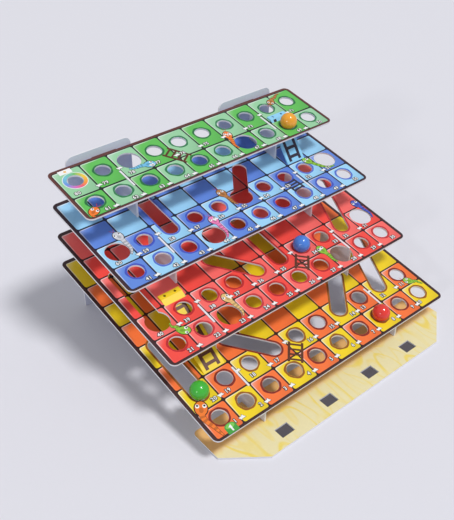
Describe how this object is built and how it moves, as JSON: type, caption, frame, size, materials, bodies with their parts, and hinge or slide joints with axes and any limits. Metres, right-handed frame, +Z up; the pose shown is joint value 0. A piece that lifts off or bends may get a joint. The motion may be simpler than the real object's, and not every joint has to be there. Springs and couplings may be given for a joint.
{
  "type": "snakes and ladders board",
  "caption": "Tiered tabletop snakes and ladders board of slotted printed card, with sloped tiers, holed squares, ball tracks, ladder strips and rolling balls.",
  "frame": {"origin": "on the floor, under the middle of the whole board", "axes": "+X along the columns to the right, +Y to the rear, +Z up"},
  "size_m": [0.2464, 0.2276, 0.1447],
  "materials": {
    "base_card": "satin print of pale wood grain on card",
    "yellow_card": "satin print on card",
    "red_card": "satin print on card",
    "blue_card": "satin print on card",
    "green_card": "satin print on card",
    "panel_card": "matte grey card",
    "fin_card": "matte white card",
    "ball_green": "gloss",
    "ball_red": "gloss",
    "ball_blue": "gloss",
    "ball_yellow": "gloss"
  },
  "bodies": {
    "board": {"base_strip": "base_card", "board_yellow": "yellow_card", "board_red": "red_card", "board_blue": "blue_card", "board_green": "green_card", "rear_panel_left": "panel_card", "rear_panel_right": "panel_card", "fin_yellow_left": "fin_card", "fin_yellow_right": "fin_card", "fin_red_left": "fin_card", "fin_red_right": "fin_card", "fin_blue_left": "fin_card", "fin_blue_right": "fin_card", "fin_green_left": "fin_card", "fin_green_right": "fin_card", "ladder_low": "yellow_card", "ladder_high": "blue_card"},
    "ball_green": {"ball_green": "ball_green"},
    "ball_red": {"ball_red": "ball_red"},
    "ball_blue": {"ball_blue": "ball_blue"},
    "ball_yellow": {"ball_yellow": "ball_yellow"}
  },
  "joints": [
    {"name": "ball_green_roll", "type": "slide", "parent": "board", "child": "ball_green", "axis": [0, 0.9848, 0.1736], "range_m": [0, 0.0525]},
    {"name": "ball_red_lift", "type": "slide", "parent": "board", "child": "ball_red", "axis": [0, 0, 1], "range_m": [0, 0.06]},
    {"name": "ball_blue_lift", "type": "slide", "parent": "board", "child": "ball_blue", "axis": [0, 0, 1], "range_m": [0, 0.06]},
    {"name": "ball_yellow_lift", "type": "slide", "parent": "board", "child": "ball_yellow", "axis": [0, 0, 1], "range_m": [0, 0.06]}
  ]
}
